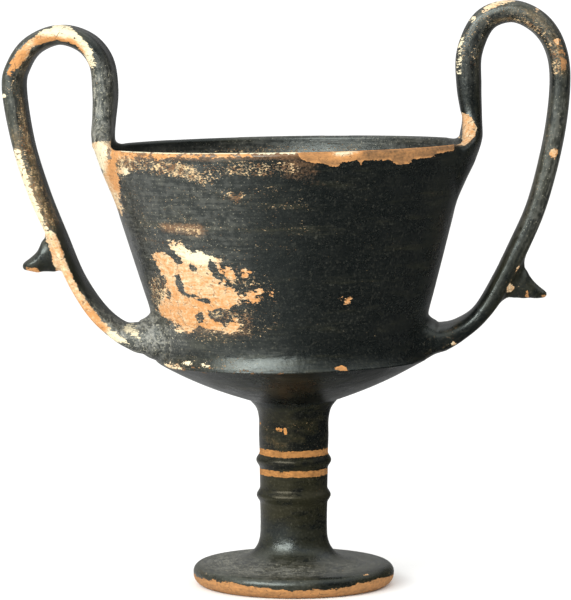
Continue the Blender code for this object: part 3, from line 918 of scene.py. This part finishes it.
def brushLines(piece):  # where the brush ran: round the body on the wheel, along the straps
    s = brushSizes
    points = readPoints(piece)
    radius, angle, height = asThrown(points)
    lines = np.stack((np.radians(angle) * s["round"], radius, height), axis=1)
    onHandles = (radius > wearRings["handlesFrom"]) | (height > s["strapsAbove"])
    for side, name in ((-1, "left"), (1, "right")):
        run, lengths = strapRun(name, s["steps"])
        onStrap = np.flatnonzero(onHandles & (points[:, 0] * side > s["strapsBeyond"]))
        place = points[onStrap][:, (0, 2)] * (side, 1)
        nearest = np.hypot(place[:, :1] - run[:, 0], place[:, 1:] - run[:, 1]).argmin(axis=1)
        along = np.gradient(run[:, :2], axis=0)[nearest]
        aside = (place - run[nearest, :2]) * along[:, ::-1] * (1, -1)
        aside = aside.sum(axis=1) / np.linalg.norm(along, axis=1)
        lines[onStrap] = np.stack((points[onStrap, 1], aside, lengths[nearest] * s["alongStrap"]), axis=1)
    return lines


def keepFields(piece, fields):
    for name, values in fields.items():
        kind, key = ("FLOAT_VECTOR", "vector") if values.ndim == 2 else ("FLOAT", "value")
        layer = piece.data.attributes.new(name, kind, "POINT")
        layer.data.foreach_set(key, values.astype(np.float32).ravel())


wear, knocked = wearFields(cup)
keepFields(cup, {**wear, "brushed": brushLines(cup)})
knockedIn = readPoints(cup) - readNormals(cup) * knocked[:, None]  # the chips are shallow dents
low, high = np.array(cadBox) / mm
writePoints(cup, np.clip(knockedIn, low, high))


print("materials")


def linear(hexColour):
    parts = [int(hexColour[i : i + 2], 16) / 255 for i in (1, 3, 5)]
    return (*(c / 12.92 if c <= 0.04045 else ((c + 0.055) / 1.055) ** 2.4 for c in parts), 1.0)


def addNode(tree, kind, inputs=(), **settings):  # a node given as an input is linked by its first output
    node = tree.nodes.new(kind)
    for name, value in settings.items():
        setattr(node, name, value)
    for socket, value in inputs.items() if isinstance(inputs, dict) else enumerate(inputs):
        value = value.outputs[0] if isinstance(value, bpy.types.Node) else value
        if isinstance(value, bpy.types.NodeSocket):
            tree.links.new(value, node.inputs[socket])
        else:
            node.inputs[socket].default_value = value
    return node


# Fired black gloss slip over orange clay, thrown on a wheel and brushed: a near-black skin with a
# soft shine, olive to brown where it is thin, dusty grey (in places partly painted sheen and highlights), and
# flaked off in ragged patches to matt clay.
# Patterns and worn fields are added up by their shares, spread into amounts from 0 to 1, multiplied
# where one holds back another, and then lay the colours over each other.
slipFinish = {
    "colours": {
        "black": "#0b0f0f",
        "olive": "#202015",
        "worn": "#4b4a3e",
        "brown": "#74502f",
        "tan": "#81714c",
        "dustAndSheenGrey": "#95948b",
        "paleDust": "#c9c3a8",
        "fleckClay": "#ceb083",
        "orangeClay": "#bb8249",
        "paleClay": "#d8ccab",
        "stainedClay": "#4f371c",
        "glossTint": "#f3fff8",
        "mattShadedTint": "#aea790",
    },
    "flatness": 2.2,  # the wheel drew the slip's clouds out sideways
    "patterns": {  # which way it runs, size in mm, detail, roughness
        "mottle": ("flat", 16, 6, 0.62),
        "ragged": ("flat", 4.2, 5, 0.66),
        "patchy": ("even", 3, 3, 0.6),
        "stain": ("flat", 2.4, 4, 0.55),
        "chip": ("flat", 1.7, 3, 0.6),
        "fleck": ("flat", 1.1, 2, 0.55),
        "rubbed": ("even", 1.1, 4, 0.7),
        "grain": ("even", 0.5, 3, 0.55),
        "dents": ("even", 6, 3, 0.55),
        "streaks": ("brushed", 1.1, 3, 0.55),
        "broadStreaks": ("brushed", 5.5, 4, 0.6),
    },
    "poreSize": 1.5,
    "crackSize": 7,
    "crackWander": 3.5,
    "shares": {
        "flaking": {"bareClay": 1, "ragged": 9, "chip": 5, "grain": 1.5},
        "scuffing": {"flecked": 1, "mottle": 1.6, "broadStreaks": 1.4},
        "smallScuffs": {"fleck": 1, "scuffing": 0.17},
        "largeScuffs": {"chip": 1, "scuffing": 0.15},
        "tone": {"clayTone": 1, "mottle": 0.5, "chip": 0.7, "rubbed": 0.7, "patchy": 0.7, "streaks": 0.6},
        "greening": {"broadStreaks": 1, "mottle": 0.6, "streaks": 0.5, "oliveSlip": 0.22},
        "rubbing": {"rubbed": 1, "mottle": 0.5},
        "thinning": {"thinSlip": 1, "broadStreaks": 1.6, "rubbed": 1.2},
        "clouding": {"patchy": 1, "streaks": 1},
        "speckling": {"rubbed": 1, "grain": 0.5},
        "relief": {"streaks": 0.1, "dents": 0.35, "rubbed": 0.06},  # mm
    },
    "softSpreads": {  # what it reads, from where to where, and the amounts that gives
        "bare": ("flaking", -0.12, 0.12, 0, 1),
        "small": ("smallScuffs", 0.31, 0.36, 0, 1),
        "large": ("largeScuffs", 0.33, 0.36, 0, 1),
        "cream": ("tone", 0, 0.85, 0, 1),
        "crack": ("cracks", 0.035, 0.01, 0, 1),
        "green": ("greening", -0.05, 0.25, 0, 1),
        "grey": ("rubbing", -0.02, 0.2, 0, 0.75),
        "thinned": ("thinning", 0.3, 1.1, 0, 0.85),
        "haze": ("clouding", -0.15, 0.25, 0.08, 0.5),
        "speckle": ("speckling", 0.06, 0.22, 0, 1),
        "pore": ("pores", 0.19, 0.12, 0, 1),
        "pale": ("patchy", -0.1, 0.1, 0, 1),
    },
    "evenSpreads": {
        "scuffed": ("stain", -0.14, 0.06, 0.3, 1),
        "brownTone": ("tone", 0, -0.9, 0, 0.9),
        "brownStain": ("stain", 0.08, 0.2, 0, 0.5),
        "cracked": ("patchy", -0.02, 0.1, 0, 0.85),
        "greyed": ("dustAndSheen", 0, 0.8, 0.08, 0.8),
        "speckled": ("dustAndSheen", 0.3, 1, 0.04, 0.6),
        "pored": ("dustAndSheen", 0, 0.8, 0.02, 0.6),
        "clayGrain": ("bare", 0, 1, 0.03, 0.08),
        "clayLumps": ("bare", 0, 1, 0, 0.08),
    },
    "joined": (
        ("flecks", "small", "large", "MAXIMUM"),
        ("flecks", "flecks", "scuffed", "MULTIPLY"),
        ("crack", "crack", "cracked", "MULTIPLY"),
        ("stained", "brownTone", "brownStain", "MAXIMUM"),
        ("stained", "stained", "crack", "MAXIMUM"),
        ("grey", "grey", "greyed", "MULTIPLY"),
        ("haze", "haze", "dustAndSheen", "MULTIPLY"),
        ("speckle", "speckle", "speckled", "MULTIPLY"),
        ("pore", "pore", "pored", "MULTIPLY"),
        ("worn", "bare", "flecks", "MAXIMUM"),
    ),
    "layers": (  # the amount, the colour below, the colour above
        ("clay", "cream", "orangeClay", "paleClay"),
        ("clay", "stained", "clay", "stainedClay"),
        ("fleck", "pale", "brown", "fleckClay"),
        ("thinSlip", "oliveSlip", "brown", "tan"),
        ("slip", "green", "black", "olive"),
        ("slip", "grey", "slip", "worn"),
        ("slip", "thinned", "slip", "thinSlip"),
        ("slip", "haze", "slip", "dustAndSheenGrey"),
        ("slip", "speckle", "slip", "paleDust"),
        ("slip", "pore", "slip", "paleDust"),
        ("skin", "flecks", "slip", "fleck"),
        ("skin", "bare", "skin", "clay"),
        # the stem's dimmed reflection tint: partly matt slip, partly painted shade under the bowl
        ("tint", "mattShadedSlip", "glossTint", "mattShadedTint"),
    ),
    "roughness": 0.3,
    "duller": {"mottle": 0.35, "rubbed": 0.28, "dustAndSheen": 0.14, "haze": 0.3},
    "clayRoughness": 0.88,
    "slipThickness": 0.14,  # mm, the step at a flake's edge
    "reliefStrength": 0.8,
    "ior": 1.5,
    "specular": 0.75,
    "smoothUpTo": math.radians(40),
}


def blackGlossSlip():
    material = bpy.data.materials.new("black gloss slip on orange clay")
    material.use_nodes = True
    tree = material.node_tree
    shader = tree.nodes["Principled BSDF"]
    s = slipFinish
    place = addNode(tree, "ShaderNodeTexCoord").outputs["Object"]
    ways = {"brushed": addNode(tree, "ShaderNodeAttribute", attribute_name="brushed").outputs["Vector"]}
    for name, upward in (("even", 1), ("flat", s["flatness"])):
        inputs = (place, (1 / mm, 1 / mm, upward / mm))
        ways[name] = addNode(tree, "ShaderNodeVectorMath", inputs, operation="MULTIPLY")
    marks = {name: addNode(tree, "ShaderNodeAttribute", attribute_name=name).outputs["Fac"] for name in wear}
    for name, (way, size, detail, roughness) in s["patterns"].items():
        inputs = {"Vector": ways[way], "Scale": 1 / size, "Detail": detail, "Roughness": roughness}
        noise = addNode(tree, "ShaderNodeTexNoise", inputs)
        marks[name] = addNode(tree, "ShaderNodeMath", (noise, 0.5), operation="SUBTRACT")
    wander = addNode(tree, "ShaderNodeMath", (marks["chip"], s["crackWander"]), operation="MULTIPLY")
    wander = addNode(tree, "ShaderNodeVectorMath", (ways["even"], wander), operation="ADD")
    for name, vector, size, feature in (
        ("cracks", wander, s["crackSize"], "DISTANCE_TO_EDGE"),
        ("pores", ways["even"], s["poreSize"], "F1"),
    ):
        inputs = {"Vector": vector, "Scale": 1 / size}
        marks[name] = addNode(tree, "ShaderNodeTexVoronoi", inputs, feature=feature)

    for name, shares in s["shares"].items():
        total = 0.0
        for part, share in shares.items():
            total = addNode(tree, "ShaderNodeMath", (marks[part], share, total), operation="MULTIPLY_ADD")
        marks[name] = total
    for spreads, curve in ((s["softSpreads"], "SMOOTHSTEP"), (s["evenSpreads"], "LINEAR")):
        for name, (part, *ends) in spreads.items():
            marks[name] = addNode(tree, "ShaderNodeMapRange", (marks[part], *ends), interpolation_type=curve)
    for name, first, second, how in s["joined"]:
        marks[name] = addNode(tree, "ShaderNodeMath", (marks[first], marks[second]), operation=how)
    colours = {name: linear(colour) for name, colour in s["colours"].items()}
    for name, amount, below, above in s["layers"]:
        inputs = {0: marks[amount], 6: colours[below], 7: colours[above]}
        colours[name] = addNode(tree, "ShaderNodeMix", inputs, data_type="RGBA").outputs[2]

    dull = s["roughness"]
    for part, share in s["duller"].items():
        dull = addNode(tree, "ShaderNodeMath", (marks[part], share, dull), operation="MULTIPLY_ADD")
    dull = addNode(tree, "ShaderNodeMix", {0: marks["worn"], 2: dull, 3: s["clayRoughness"]})
    relief = marks["relief"]
    depths = {"grain": marks["clayGrain"], "chip": marks["clayLumps"], "worn": -s["slipThickness"]}
    for part, depth in depths.items():
        relief = addNode(tree, "ShaderNodeMath", (marks[part], depth, relief), operation="MULTIPLY_ADD")
    inputs = {"Height": relief, "Distance": mm, "Strength": s["reliefStrength"]}
    bump = addNode(tree, "ShaderNodeBump", inputs)

    tree.links.new(colours["skin"], shader.inputs["Base Color"])
    tree.links.new(colours["tint"], shader.inputs["Specular Tint"])
    tree.links.new(dull.outputs[0], shader.inputs["Roughness"])
    tree.links.new(bump.outputs[0], shader.inputs["Normal"])
    shader.inputs["IOR"].default_value = s["ior"]
    shader.inputs["Specular IOR Level"].default_value = s["specular"]
    return material


cup.data.materials.clear()
cup.data.materials.append(blackGlossSlip())
activate(cup)
bpy.ops.object.shade_smooth_by_angle(angle=slipFinish["smoothUpTo"])
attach(cup, "root")
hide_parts("kantharos")


print("floor and light")
studio = {
    "floorWidth": 8,
    "floor": "#f4f4f2",
    "fibre": "#fafaf8",
    "fibreScale": 900,
    "fibreDetail": 2,
    "floorRoughness": 0.9,
    "roomLight": 1.12,
    "keyPlace": (-1.02, -1.51, 1.02),
    "keyAim": (0, 0, 0.13),
    "keySize": (2, 0.8),
    "keyPower": 44,
    # The room as the gloss mirrors it: axis of the look, from where to where along it, how bright it
    # is there, and how that joins the rest.
    "mirrored": (
        (0, 0.5, -0.75, 0.04, 0.78, "MULTIPLY"),  # from the right wall to the left
        (2, 0.1, -0.35, 0.35, 1, "MULTIPLY"),  # from above down to the table
        (2, -0.45, -0.8, 1, 0.5, "MULTIPLY"),  # the cup's own shade on it
        (1, 0.8, 0.99, 0, 0.2, "ADD"),  # back wall
        (2, 0.3, 0.8, 0, 0.8, "ADD"),  # ceiling
    ),
}


def layFloor():
    startFresh()
    bpy.ops.mesh.primitive_plane_add(size=studio["floorWidth"], location=(0, 0, 0))
    floor = bpy.context.object
    floor.name = "floor"
    material = bpy.data.materials.new("matt white board")
    material.use_nodes = True
    tree = material.node_tree
    shader = tree.nodes["Principled BSDF"]
    place = addNode(tree, "ShaderNodeTexCoord").outputs["Object"]
    inputs = {"Vector": place, "Scale": studio["fibreScale"], "Detail": studio["fibreDetail"]}
    fibre = addNode(tree, "ShaderNodeTexNoise", inputs)
    inputs = {0: fibre, 6: linear(studio["floor"]), 7: linear(studio["fibre"])}
    white = addNode(tree, "ShaderNodeMix", inputs, data_type="RGBA").outputs[2]
    tree.links.new(white, shader.inputs["Base Color"])
    shader.inputs["Roughness"].default_value = studio["floorRoughness"]
    floor.data.materials.append(material)
    floor.visible_glossy = False


def hangSoftbox():
    startFresh()
    aim = Vector(studio["keyAim"]) - Vector(studio["keyPlace"])
    turned = aim.to_track_quat("-Z", "Y").to_euler()
    bpy.ops.object.light_add(type="AREA", location=studio["keyPlace"], rotation=turned)
    lamp = bpy.context.object
    lamp.name = "key"
    lamp.data.shape = "RECTANGLE"
    lamp.data.size, lamp.data.size_y = studio["keySize"]
    lamp.data.energy = studio["keyPower"]


def lightRoom():
    world = bpy.data.worlds.new("studio")
    bpy.context.scene.world = world
    world.use_nodes = True
    tree = world.node_tree
    tree.nodes.clear()
    way = addNode(tree, "ShaderNodeTexCoord").outputs["Generated"]
    split = addNode(tree, "ShaderNodeSeparateXYZ", (way,))
    seen = 1.0
    for axis, *ends, joined in studio["mirrored"]:
        inputs = (split.outputs[axis], *ends)
        part = addNode(tree, "ShaderNodeMapRange", inputs, interpolation_type="SMOOTHSTEP")
        seen = addNode(tree, "ShaderNodeMath", (part, seen), operation=joined)
    ray = addNode(tree, "ShaderNodeLightPath").outputs["Is Glossy Ray"]
    room = addNode(tree, "ShaderNodeBackground", ((1, 1, 1, 1), studio["roomLight"]))
    mirrored = addNode(tree, "ShaderNodeBackground", ((1, 1, 1, 1), seen))
    mixed = addNode(tree, "ShaderNodeMixShader", (ray, room, mirrored))
    addNode(tree, "ShaderNodeOutputWorld", (mixed,))


layFloor()
lightRoom()
hangSoftbox()
bpy.context.scene.view_settings.view_transform = "Standard"
